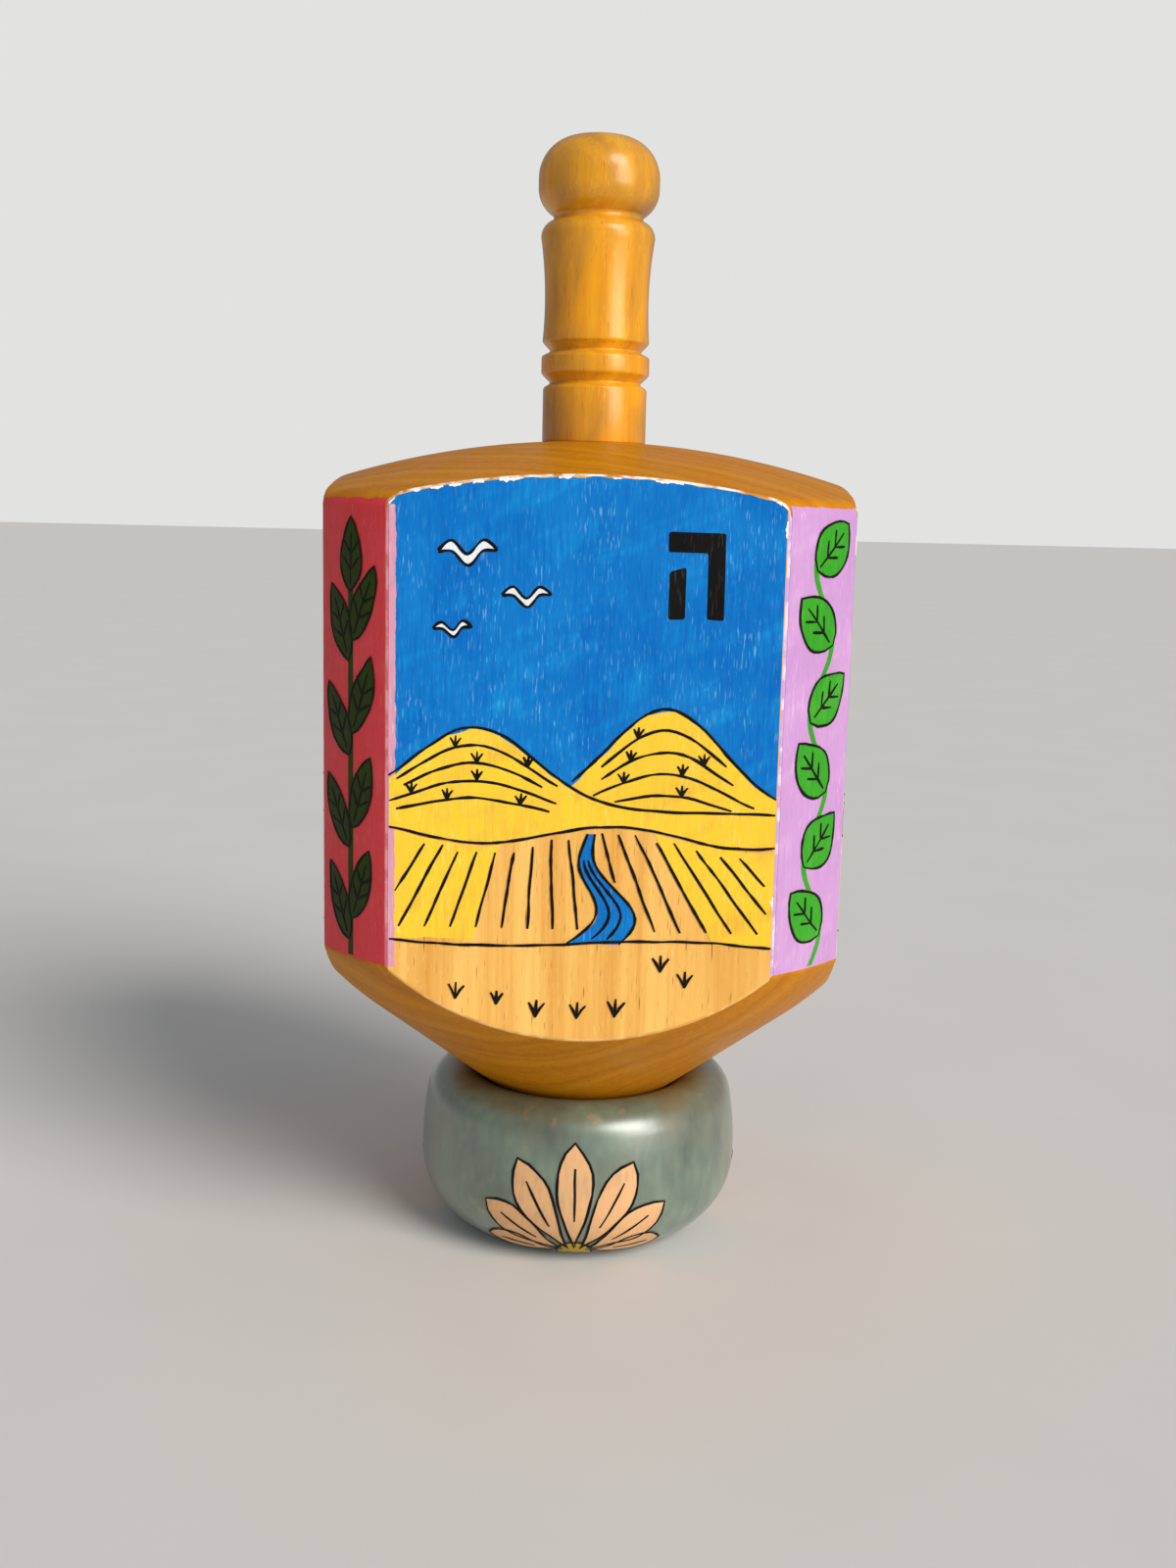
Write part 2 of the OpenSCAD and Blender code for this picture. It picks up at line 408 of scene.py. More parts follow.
foot_run = foot_round * (foot_angle + quarter)
side_run = side_r * (rim_angle - foot_angle)


def stand_skin(run):
    """Radius, height and outward direction of the stand at a distance up its outline."""
    if run < foot_run:
        centre, radius, lean = foot_centre, foot_round, run / foot_round - quarter
    elif run < foot_run + side_run:
        centre, radius, lean = side_centre, side_r, foot_angle + (run - foot_run) / side_r
    else:
        centre, radius, lean = rim_centre, top_round, rim_angle + (run - foot_run - side_run) / top_round
    out, rise = cos(lean), sin(lean)
    return centre[0] + radius * out, centre[1] + radius * rise, out, rise


def wrap_on_stand(part, turn):
    """Lay a flat part round the stand, with its middle turned from the front."""
    cut_every(part, 0, 0.5 * mm)
    cut_every(part, 1, 0.5 * mm)
    for vert in part.verts:
        around, run, lift = vert.co
        radius, z, out, rise = stand_skin(run)
        angle = around / belly_r + turn
        reach = radius + lift * out
        vert.co = (reach * sin(angle), -reach * cos(angle), z + lift * rise)
    return part


def leaf(base, angle, length, width, fullness):
    """Outline of a leaf or petal at an angle from straight up, widest further out the fuller it is."""
    ahead = Vector((sin(angle), cos(angle)))
    aside = Vector((ahead.y, -ahead.x))
    steps = 12
    edge = []
    for i in range(steps + 1):
        t = i / steps
        half = width / 2 * max(0.0, sin(pi * t ** fullness)) ** 0.8
        edge.append((Vector(base) + ahead * length * t, aside * half))
    right = [tuple(p + h) for p, h in edge]
    left = [tuple(p - h) for p, h in edge[-2:0:-1]]
    return right + left


def midrib(base, angle, length, start=0.1, end=0.8):
    """Line up the middle of a leaf."""
    ahead = Vector((sin(angle), cos(angle))) * length
    return [tuple(Vector(base) + ahead * (start + (end - start) * i / 4)) for i in range(5)]


petal_shell, bud_shell, fan_ink_shell = bmesh.new(), bmesh.new(), bmesh.new()
for fan in range(fan_count):
    turn = tau * fan / fan_count
    fan_lines = []
    for i in range(petal_count):
        angle = radians(fan_half_angle * (2 * i / (petal_count - 1) - 1))
        length = side_petal_l + upright_petal_extra * cos(angle) ** 2
        base = (2.0 * sin(angle), fan_foot + 1.2 * cos(angle))
        petal = leaf(base, angle, length, petal_width, 1.7)
        gather(petal_shell, wrap_on_stand(paint_coat(petal, petal_lift), turn))
        fan_lines.append(hand_drawn(petal + petal[:1], 3 * i + fan, 0.25))
        fan_lines.append(hand_drawn(midrib(base, angle, length, 0.35, 0.8), 50 + i))
    bud = [(bud_r * sin(a), fan_foot - 0.9 + 1.35 * bud_r * cos(a))
           for a in [quarter * (k / 6 - 1) for k in range(13)]]
    gather(bud_shell, wrap_on_stand(paint_coat(bud, bud_lift), turn))
    fan_lines.append(hand_drawn(bud, 90 + fan))
    gather(fan_ink_shell, wrap_on_stand(pen_lines(fan_lines, ink_lift), turn))
salmon = brushed_paint("salmon_paint", (240, 186, 132), (196, 160, 122), (222, 176, 130), 0.75, 0.4)
ochre = brushed_paint("ochre_paint", (196, 170, 44), (176, 146, 48), (214, 190, 96), 0.7, 0.4)
make_piece("stand_petals", petal_shell, [salmon], "stand")
make_piece("stand_buds", bud_shell, [ochre], "stand")
make_piece("stand_pen_lines", fan_ink_shell, [ink], "stand")

# Body: one block of wood, turned to a domed top, straight sides and a conical point, and then planed flat on
# four sides, so that four narrow strips of the turning stay between the flats. It is bored for the handle.
body_low, body_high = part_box("body")
flat_y = body_high.x
tip_z = body_low.z
land_z = body_high.z
turned_r = 37 * mm
dome_r = 100 * mm
dome_edge_r = 2.2 * mm
tip_r = 2.5 * mm
cone_slope = radians(38)
swell_r = 40 * mm
swell_slope = radians(56)
land_r = 6.9 * mm
bore_r = 4.6 * mm
bore_depth = 23 * mm
arris_round = 0.2 * mm
arris_bed = 0.5 * mm
inner_r = 27 * mm

cone_angle = cone_slope - quarter
swell_angle = swell_slope - quarter
tip_centre = (0, tip_z + tip_r)
apex_z = tip_centre[1] - tip_r / cos(cone_slope)
swell_centre_r = turned_r - swell_r * cos(swell_angle)
cone_end_r = swell_centre_r + swell_r * cos(cone_angle)
swell_centre_z = apex_z + cone_end_r * tan(cone_slope) - swell_r * sin(cone_angle)
strip_low_z = swell_centre_z + swell_r * sin(swell_angle)
land_angle = acos(land_r / dome_r)
dome_centre = (0, land_z - dome_r * sin(land_angle))
edge_centre_r = turned_r - dome_edge_r
edge_angle = acos(edge_centre_r / (dome_r - dome_edge_r))
strip_high_z = dome_centre[1] + (dome_r - dome_edge_r) * sin(edge_angle)
tip_touch_r = tip_r * cos(cone_angle)
dome_end_r = edge_centre_r + dome_edge_r * cos(edge_angle)


def low_z(r):
    """Height of the turned underside at a radius."""
    if r < tip_touch_r:
        return tip_centre[1] - sqrt(tip_r ** 2 - r ** 2)
    if r < cone_end_r:
        return apex_z + r * tan(cone_slope)
    return swell_centre_z - sqrt(swell_r ** 2 - (r - swell_centre_r) ** 2)


def high_z(r):
    """Height of the turned top at a radius."""
    if r > dome_end_r:
        return strip_high_z + sqrt(max(0.0, dome_edge_r ** 2 - (r - edge_centre_r) ** 2))
    return dome_centre[1] + sqrt(dome_r ** 2 - r ** 2)


def stretch(start, end, count):
    """Evenly spaced values after a start, up to an end."""
    return [start + (end - start) * i / count for i in range(1, count + 1)]


def rounded(start, corner, end):
    """Four points that round a corner of an outline."""
    a, b, c = Vector(start), Vector(corner), Vector(end)
    return [tuple((1 - t) ** 2 * a + 2 * t * (1 - t) * b + t * t * c) for t in (0, 1 / 3, 2 / 3, 1)]


tip_rows = arc(tip_centre, tip_r, -quarter, cone_angle, 8)
tip_rows += [(r, low_z(r)) for r in stretch(tip_touch_r, inner_r, 22)]
land_rows = [(r, high_z(r)) for r in stretch(inner_r, land_r, 16)]
land_rows += [(bore_r, land_z), (bore_r, land_z - bore_depth), (0, land_z - bore_depth)]
under_count, side_count = 7, 25


def body_column(reach):
    """Points (radius, height) of the body from its tip to the floor of its bore, cut upright at a reach."""
    foot, top = low_z(reach), high_z(reach)
    nib = reach - arris_round
    under = stretch(inner_r, reach - arris_bed, under_count)
    brow = [reach - drop * mm for drop in (0.35, 0.6, 0.9, 1.3, 1.8, 2.4)]
    brow += stretch(brow[-1], inner_r, 6)
    side = [foot + arris_bed, *stretch(foot + arris_bed, top - arris_bed, side_count - 1)]
    return [
        *tip_rows,
        *[(r, low_z(r)) for r in under],
        *rounded((nib, low_z(nib)), (reach, foot), (reach, foot + arris_round)),
        *[(reach, z) for z in side],
        *rounded((reach, top - arris_round), (reach, top), (nib, high_z(nib))),
        *[(r, high_z(r)) for r in brow],
        *land_rows,
    ]


# Each flat and the strip to its right, as turns from the flat's middle and reaches from the axis.
flat_turn = acos(flat_y / turned_r)
flat_half = sqrt(turned_r ** 2 - flat_y ** 2)
flat_places = [-flat_half + arris_round, -flat_half + arris_bed]
flat_places += stretch(-flat_half + arris_bed, flat_half - arris_bed, 54) + [flat_half - arris_round]
strip_turns = [flat_turn + arris_round / turned_r, flat_turn + arris_bed / turned_r]
strip_turns += stretch(strip_turns[-1], quarter - strip_turns[-1], 12) + [quarter - strip_turns[0]]
arris_reach = turned_r - 0.15 * arris_round
columns = []
for side in range(4):
    columns += [(side, "flat", atan2(u, flat_y), hypot(u, flat_y)) for u in flat_places]
    columns.append((side, "arris", flat_turn, arris_reach))
    columns += [(side, "strip", turn, turned_r) for turn in strip_turns]
    columns.append((side + 1, "arris", -flat_turn, arris_reach))

body_shell = bmesh.new()
grid = []
for side, kind, turn, reach in columns:
    ahead = turn + side * quarter
    grid.append([body_shell.verts.new((r * sin(ahead), -r * cos(ahead), z)) for r, z in body_column(reach)])
low_arris = len(tip_rows) + under_count
side_start = low_arris + 3
side_end = side_start + side_count + 1
# The rounded arrises take lighter colours of their own: pink or pale lilac up the corners, white chips under
# the dome and pale wood above the point. They are partly rubbed paint and bare wood, and partly a painted
# highlight on the rounded edges.
bare, planed, pink_edge, lilac_edge, white_edge, pale_edge = range(6)
for i, (side, kind, turn, reach) in enumerate(columns):
    j = (i + 1) % len(columns)
    kinds = {kind, columns[j][1]}
    corner = side + 1 if turn > 0 else side
    for row in range(len(grid[i]) - 1):
        face = body_shell.faces.new((grid[i][row], grid[j][row], grid[j][row + 1], grid[i][row + 1]))
        on_side = side_start <= row < side_end
        if "arris" in kinds and on_side:
            face.material_index = pink_edge if corner % 2 == 0 else lilac_edge
        elif kinds == {"flat"} and low_arris <= row < side_start:
            face.material_index = pale_edge
        elif kinds == {"flat"} and on_side:
            face.material_index = planed
        elif "strip" not in kinds and side_end <= row < side_end + 3:
            face.material_index = white_edge
        else:
            face.material_index = bare
bmesh.ops.remove_doubles(body_shell, verts=body_shell.verts, dist=weld)
bmesh.ops.recalc_face_normals(body_shell, faces=body_shell.faces)


def edge_wear_and_highlight(name, coat, under):
    """An arris whose colour is mixed in spots between two shades: partly paint rubbed through, partly a
    painted highlight along the rounded edge.
    """
    material, tree, skin, spot = varnished(name, 0.1)
    spots = stretched_noise(tree, spot, (1, 1, 1), (0.2, 0, 0), Scale=450, Detail=5)
    shade = mixed(tree, spread(tree, spots, 0.48, 0.6), colour(*coat), colour(*under))
    finish_surface(tree, skin, shade, spots, 0.35, 0.55, spots, 0.03 * mm)
    return material


# The arris colours are partly worn paint and bare wood, and partly a painted highlight along the rounded
# edges.
body_coats = [
    wood("turned_amber_wood", (214, 142, 18), (184, 110, 6), (122, 64, 4), (226, 160, 44), 0.03, 0.06),
    wood("planed_wood", (255, 204, 112), (222, 154, 66), (150, 88, 32), (255, 230, 166), 0.06, 0.12, 0.8),
    edge_wear_and_highlight("arris_wear_and_highlight_pink", (220, 160, 176), (200, 116, 124)),
    edge_wear_and_highlight("arris_wear_and_highlight_lilac", (198, 158, 210), (228, 208, 234)),
    edge_wear_and_highlight("arris_wear_and_highlight_white", (200, 134, 44), (240, 234, 226)),
    edge_wear_and_highlight("arris_wear_and_highlight_pale", (232, 172, 88), (246, 200, 128)),
]
body = make_piece("turned_body", body_shell, body_coats, "dreidel")
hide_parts("body")

# Pictures on the four flats: blue sky, yellow hills and fields, and a river, brushed on in thin coats.
# The middle and the foot of each flat stay bare wood. Everything is drawn round in black ink.
half_mm = flat_half / mm
leans = (1, -1, 1, -1)
margin = 0.3
sky_lift = 0.03
field_lift = 0.04
hill_lift = 0.05
river_lift = 0.05
bird_lift = 0.06
art_foot = strip_low_z / mm
hill_sets = (
    ((9, 11.5, 9), (-12, 9, 9.5)),
    ((-7, 12, 9), (14, 8, 9)),
    ((3, 10.5, 8), (-15, 10, 8)),
    ((-10, 10, 8), (8, 12, 10)),
)
horizon = art_foot + 18.3
ground = art_foot + 3.4


def ragged(u, v, seed, size=0.16):
    """How far a brushed edge strays at a place."""
    slow = noise.noise(Vector((0.55 * u, 0.55 * v, seed)))
    return size * (slow + 0.5 * noise.noise(Vector((2 * u, 2 * v, seed))))


def arch_top(u):
    """Height at which a flat ends in the domed top."""
    return high_z(hypot(flat_y, u * mm)) / mm


def arch_low(u):
    """Height at which a flat ends in the swelling cone."""
    return low_z(hypot(flat_y, u * mm)) / mm


def steps_between(start, end, step=0.8):
    """Evenly spaced values from start to end, about a step apart."""
    return [start, *stretch(start, end, max(2, round(abs(end - start) / step)))]


def ridge(hill, u):
    """Height of a hill's ridge across the flat."""
    centre, rise, spread_out = hill
    return horizon + rise * exp(-((u - centre) / spread_out) ** 2)


def field_top(u, lean):
    """Height at which the hills meet the fields."""
    return horizon - 2.6 + 1.1 * sin(0.21 * u * lean + 0.8)


def river_middle(v, lean):
    """Place of the river's middle at a height."""
    return lean * (1.5 + 2.6 * sin(0.42 * (v - ground)) * (horizon - v) / 12)


def river_half(v):
    """Half the river's width, which shrinks into the distance."""
    nearness = max(0.0, (horizon - 2 - v) / (horizon - 2 - ground))
    return 0.35 + 2.4 * nearness ** 1.3


def runs(points, shown):
    """Stretches of a line where it is shown."""
    found, run = [], []
    for point in points:
        if shown(*point):
            run.append(point)
        elif run:
            found.append(run)
            run = []
    return [r for r in [*found, run] if len(r) > 3]


def tuft(u, v, size, hand):
    """Three blades of grass."""
    return [[(u, v), (u + 0.5 * s * size, v + 0.6 * size), (u + s * size, v + size * (1.2 - 0.4 * abs(s)))]
            for s in (-0.6 + 0.2 * hand.random(), 0.05, 0.6)]


def curve_round(points, step):
    """Smooth closed line through a few points, with new points about a step apart."""
    line = []
    for i in range(len(points)):
        a, b, c, d = [Vector(points[(i + j) % len(points)]) for j in (-1, 0, 1, 2)]
        pieces = max(2, round((c - b).length / step))
        for k in range(pieces):
            t = k / pieces
            bend = (2 * a - 5 * b + 4 * c - d) * t * t + (3 * b - 3 * c + d - a) * t ** 3
            line.append(tuple(b + 0.5 * ((c - a) * t + bend)))
    return line


def gull(u, v, span):
    """Outline of a small bird on the wing."""
    wing = [(-0.5, 0.12), (-0.27, 0.3), (0, 0.08), (0.27, 0.32)]
    wing += [(0.5, 0.16), (0.26, 0.14), (0.02, -0.1), (-0.26, 0.12)]
    return curve_round([(u + span * a, v + span * b) for a, b in wing], 0.3)


def paintwork(name, shell, coat):
    """Turn a shell into a piece of paintwork on the body."""
    make_piece(name, shell, [coat], "dreidel")


def lay_on_flat(part, side):
    """Stand a flat part upright on one of the four flats."""
    place = Matrix.Rotation(side * quarter, 4, "Z") @ Matrix.Translation((0, -flat_y, 0))
    bmesh.ops.transform(part, verts=part.verts, matrix=place @ Matrix.Rotation(quarter, 4, "X"))
    return part


blue_shell, yellow_shell, white_shell = bmesh.new(), bmesh.new(), bmesh.new()
blue = brushed_paint("blue_paint", (0, 96, 186), (22, 148, 222), (140, 200, 240), 0.8, 0.5)
yellow = brushed_paint("yellow_paint", (255, 216, 50), (234, 180, 66), (255, 238, 148), 0.9, 0.5)
white = brushed_paint("white_paint", (240, 244, 246), (186, 206, 226), (252, 252, 248), 0.7, 0.5)
side_names = ("front", "right", "back", "left")
for side, hills in enumerate(hill_sets):
    lean = leans[side]
    seed = 10 * side
    hand = random.Random(20 + side)
    edge = half_mm - margin
    across = steps_between(-edge, edge)
    lines = []

    top = [(u, arch_top(u) - 0.25 + ragged(u, 0, seed, 0.2)) for u in across]
    low = [(u, max(ridge(h, u) for h in hills) - 1.2) for u in reversed(across)]
    gather(blue_shell, lay_on_flat(paint_coat(top + low, sky_lift), side))

    for layer, hill in enumerate(hills):
        crest = [(u, ridge(hill, u) + ragged(u, 0, seed + layer, 0.35)) for u in across]
        foot = [(u, field_top(u, lean) + 0.1 + ragged(u, 9, seed)) for u in reversed(across)]
        gather(yellow_shell, lay_on_flat(paint_coat(crest + foot, hill_lift + 0.02 * layer), side))
        nearer = hills[layer + 1:]

        def shown(u, v):
            """Whether a terrace is in view at a place, and not past its end."""
            open_view = v > field_top(u, lean) + 0.7 and all(v > ridge(h, u) + 0.5 for h in nearer)
            return open_view and ridge(hill, u) - horizon > stop

        for terrace in range(5):
            stop = hand.uniform(0.1, 0.55) * hill[1] if terrace else 0
            lower_hill = (hill[0], hill[1] * (1 - 0.17 * terrace), hill[2] * (1 + 0.03 * terrace))
            line = [(u, ridge(lower_hill, u) + 0.25 - 0.45 * terrace) for u in across]
            for run in runs(line, shown):
                lines.append(hand_drawn(run, seed + terrace))
                if terrace:
                    picks = range(hand.randrange(3, 11), len(run) - 3, 8 + hand.randrange(4))
                    lines += [hand_drawn(b, seed) for p in picks for b in tuft(*run[p], 1.1, hand)]

    vanishing = (-4 * lean, art_foot + 36.8)

    def furrow_u(foot_u, v):
        """Place of a furrow at a height, by its place on the ground line."""
        return vanishing[0] + (foot_u - vanishing[0]) * (vanishing[1] - v) / (vanishing[1] - ground)

    for foot_u, outer in ((-12 * lean, -edge * lean), (15 * lean, edge * lean)):
        span = steps_between(furrow_u(foot_u, horizon - 2.6), outer)
        upper = [(u, field_top(u, lean) - 0.3 + ragged(u, 3, seed, 0.3)) for u in span]
        span = steps_between(outer, foot_u)
        lower = [(u, ground + 0.2 + ragged(u, 5, seed, 0.3)) for u in span]
        gather(yellow_shell, lay_on_flat(paint_coat(upper + lower, field_lift), side))

    banks = steps_between(ground, horizon - 2.4, 0.6)
    right_bank = [(river_middle(v, lean) + river_half(v), v) for v in banks]
    left_bank = [(river_middle(v, lean) - river_half(v), v) for v in banks]
    gather(blue_shell, lay_on_flat(paint_coat(right_bank + left_bank[::-1], river_lift), side))
    for share in (-1.08, -0.35, 0.3, 1.08):
        flow = [(river_middle(v, lean) + share * river_half(v), v) for v in banks]
        lines.append(hand_drawn(flow if abs(share) > 1 else flow[1:-5], seed + 4))

    lines.append(hand_drawn([(u, field_top(u, lean)) for u in across], seed + 1))
    lines.append(hand_drawn([(u, ground + 0.5 * sin(0.15 * u)) for u in across], seed + 2))

    def dry(u, v):
        """Whether a place is in a field and not in the river."""
        wet = abs(u - river_middle(v, lean)) < river_half(v) + 0.7
        return ground + 0.8 < v < field_top(u, lean) - 0.6 and abs(u) < edge - 0.4 and not wet

    for foot_u in steps_between(-30, 30, 3):
        furrow = [(furrow_u(foot_u, v), v) for v in steps_between(horizon, ground)]
        lines += [hand_drawn(run, seed + 6) for run in runs(furrow, dry)]
    for i in range(7):
        u = -15 + 30 * (i + 0.2 + 0.6 * hand.random()) / 7
        low_v = arch_low(u) + 1.5
        v = low_v + hand.random() * max(0.0, ground - 3 - low_v)
        lines += [hand_drawn(blade, seed) for blade in tuft(u, v, hand.uniform(1.3, 1.9), hand)]

    for u, v, span in ((-13, 45.8, 6.5), (-6.5, 41.3, 5.2), (-14.5, 37.8, 4.2)):
        bird = gull(u * lean, art_foot + v, span)
        gather(white_shell, lay_on_flat(paint_coat(bird, bird_lift), side))
        lines.append(hand_drawn(bird + bird[:1], seed + 8, 0.2))
    ink_shell = lay_on_flat(pen_lines(lines, ink_lift), side)
    paintwork("pen_lines_" + side_names[side], ink_shell, ink)
paintwork("blue_paintwork", blue_shell, blue)
paintwork("yellow_paintwork", yellow_shell, yellow)
paintwork("white_birds", white_shell, white)

# Game marks: the four letters that every such top carries, one to a flat, in plain block form.
# Each is painted in black with a flat brush, and its corners are rounded by the bristles.
mark_h = 9.4
mark_u = 11.5
mark_v = art_foot + 39.8
mark_lift = 0.07
bristle_round = 0.3
marks = (
    (((0, 1), (0.66, 1), (0.66, 0), (0.46, 0), (0.46, 0.77), (0, 0.77)),
     ((0.02, 0.54), (0.21, 0.6), (0.21, 0), (0.02, 0))),
    (((0, 1), (0.18, 1), (0.18, 0.2), (0.28, 0.2), (0.28, 1), (0.46, 1), (0.46, 0.2), (0.56, 0.2), (0.56, 1),
      (0.74, 1), (0.74, 0), (0, 0)),),
    (((0.1, 1), (0.54, 1), (0.54, 0), (0, 0), (0, 0.2), (0.34, 0.2), (0.34, 0.78), (0.1, 0.78)),),
    (((0.12, 1), (0.47, 1), (0.47, 0.42), (0.63, 0), (0.44, 0), (0.35, 0.26), (0.18, 0), (0, 0), (0.27, 0.46),
      (0.27, 0.78), (0.12, 0.78)),),
)
mark_shell = bmesh.new()
for side, strokes in enumerate(marks):
    left = mark_u * leans[side] - 0.3 * mark_h
    for stroke in strokes:
        outline = [(left + mark_h * a, mark_v + mark_h * b) for a, b in stroke]
        shape = bmesh.new()
        shape.faces.new([shape.verts.new((u, v, 0)) for u, v in outline])
        bmesh.ops.bevel(
            shape, geom=list(shape.verts), offset=bristle_round, affect="VERTICES",
            segments=4, profile=0.5, material=-1,
        )
        soft = [loop.vert.co.xy for face in shape.faces for loop in face.loops]
        brushed = [(u + ragged(u, v, side, 0.1), v + ragged(v, u, side, 0.1)) for u, v in soft]
        shape.free()
        gather(mark_shell, lay_on_flat(paint_coat(brushed, mark_lift), side))
black = brushed_paint("black_paint", (9, 8, 9), (22, 20, 20), (96, 88, 80), 0.6, 0.4, 0.0, 0.14)
paintwork("game_marks", mark_shell, black)

# Corner strips: what is left of the turning, painted red with a dark leafy branch or lilac with a green vine.
# The colours alternate round the body, and the leaves are drawn round in ink.
strip_half = turned_r / mm * (pi / 4 - flat_turn)
strip_low = strip_low_z / mm + 0.25
strip_high = strip_high_z / mm + 0.1
strip_lift = 0.04
stem_lift = 0.07
leaf_lift = 0.09
strip_ink_lift = 0.14
strip_pen_width = 0.32
branch_step = 10.6
vine_step = 8.25


def wrap_on_strip(part, corner):
    """Bend a flat part round the turning, over one of the four corners."""
    cut_every(part, 0, 0.7 * mm)
    for rise in (0, 0.3, 0.6, 0.9, 1.2):
        cut_at(part, 1, strip_high_z + rise * mm)
    for vert in part.verts:
        around, z, lift = vert.co
        angle = around / turned_r + (corner - 0.5) * quarter
        rise = max(0.0, z - strip_high_z)
        reach = edge_centre_r + sqrt(dome_edge_r ** 2 - rise ** 2) + lift
        vert.co = (reach * sin(angle), -reach * cos(angle), z)
    return part


def strip_ground(seed):
    """Outline of the paint that covers a strip from arris to arris."""
    edge = strip_half - 0.2
    paint_end = strip_high + 1.1
    up = steps_between(strip_low, paint_end)
    right = [(edge + ragged(edge, v, seed, 0.1), v) for v in up]
    left = [(-edge + ragged(-edge, v, seed, 0.1), v) for v in reversed(up)]
    top = [(u, paint_end - 0.15 + ragged(u, 0, seed, 0.25)) for u in steps_between(edge, -edge)[1:-1]]
    return right + top + left


def branch(seed):
    """Leaves of an upright branch, in pairs and with one at its end: base, angle, length, width."""
    hand = random.Random(seed)
    leaves = []
    for i in range(4):
        v = strip_low + 3.2 + branch_step * i
        for s in (-1, 1):
            turn = s * radians(20 + 8 * hand.random())
            leaves.append(((0.3 * s, v + 1.2 * s), turn, 8.6 + hand.random(), 3.5))
    leaves.append(((0, strip_high - 9.4), 0.03, 8.2, 3.6))
    return leaves


def vine_sway(v):
    """How far the vine's stem bends aside at a height."""
    return 1.7 * sin((v - strip_low) * tau / (2 * vine_step))


def vine(seed):
    """Broad leaves of a climbing vine, one at each bend of its stem."""
    hand = random.Random(seed)
    leaves = []
    for i in range(6):
        v = strip_low + 3.6 + vine_step * i
        s = 1 if i % 2 == 0 else -1
        leaves.append(((vine_sway(v), v), -s * radians(40 + 10 * hand.random()), 7.8, 5.6))
    return leaves


def stem(sway, width):
    """Outline of a stem that climbs the whole strip."""
    up = steps_between(strip_low + 0.2, strip_high - 3)
    right = [(sway(v) + width / 2, v) for v in up]
    left = [(sway(v) - width / 2, v) for v in reversed(up)]
    return right + left


def side_veins(base, angle, length):
    """Two pairs of short veins that branch from a leaf's midrib."""
    veins = []
    for start in (0.3, 0.52):
        root = midrib(base, angle, length, start, start)[0]
        veins += [midrib(root, angle + s * 0.75, 0.24 * length, 0, 1) for s in (-1, 1)]
    return veins


red = brushed_paint("red_paint", (222, 56, 62), (228, 92, 100), (238, 136, 144), 0.7, 0.3)
lilac = brushed_paint("lilac_paint", (188, 138, 196), (212, 166, 212), (236, 208, 236), 0.75, 0.4)
dark_green = brushed_paint("dark_green_paint", (42, 58, 8), (58, 76, 16), (76, 92, 34), 0.7, 0.3, 0.0, 0.08)
leaf_green = brushed_paint("leaf_green_paint", (40, 146, 26), (80, 176, 54), (128, 208, 100), 0.7, 0.35)
ground_shells = (bmesh.new(), bmesh.new())
leaf_shells = (bmesh.new(), bmesh.new())
strip_ink_shell = bmesh.new()
for corner in range(4):
    kind = corner % 2
    gather(ground_shells[kind], wrap_on_strip(paint_coat(strip_ground(corner), strip_lift), corner))
    sway, width = ((lambda v: 0.0), 0.9) if kind == 0 else (vine_sway, 0.8)
    gather(leaf_shells[kind], wrap_on_strip(paint_coat(stem(sway, width), stem_lift), corner))
    lines = []
    for number, (base, turn, length, width) in enumerate((branch, vine)[kind](40 + corner)):
        outline = leaf(base, turn, length, width, 0.85)
        gather(leaf_shells[kind], wrap_on_strip(paint_coat(outline, leaf_lift + 0.003 * number), corner))
        lines.append(hand_drawn(outline + outline[:1], corner + number, 0.3))
        lines.append(hand_drawn(midrib(base, turn, length), number))
        lines += [hand_drawn(vein, number, 0.05) for vein in side_veins(base, turn, length)]
    gather(strip_ink_shell, wrap_on_strip(pen_lines(lines, strip_ink_lift, strip_pen_width), corner))
for kind, (name, coat, leaves) in enumerate((("red", red, dark_green), ("lilac", lilac, leaf_green))):
    paintwork("strip_paint_" + name, ground_shells[kind], coat)
    paintwork("strip_leaves_" + name, leaf_shells[kind], leaves)
paintwork("strip_pen_lines", strip_ink_shell, ink)

# Arris bands: handling has rubbed the paint along the edges of the flats down to its pale first coat. The
# bands are also a painted highlight on the rounded edges. Beside a red strip the band is pink and beside a
# lilac strip nearly white; under the dome it is chipped.
band_lift = 0.06
least_band = 0.08
fillet = arris_round / mm
white_band_shell, pink_shell = bmesh.new(), bmesh.new()


def band_reach(place, seed, base, sway):
    """How far a pale band of wear and painted highlight reaches in from an arris, at a place along it."""
    coarse = noise.noise(Vector((0.7 * place, 0.5, seed)))
    return base + sway * (coarse + 0.5 * noise.noise(Vector((2.6 * place, 0.5, seed))))


def band_shows(place, reach):
    """Whether the pale band of wear and painted highlight shows at a place along an arris."""
    return reach > least_band


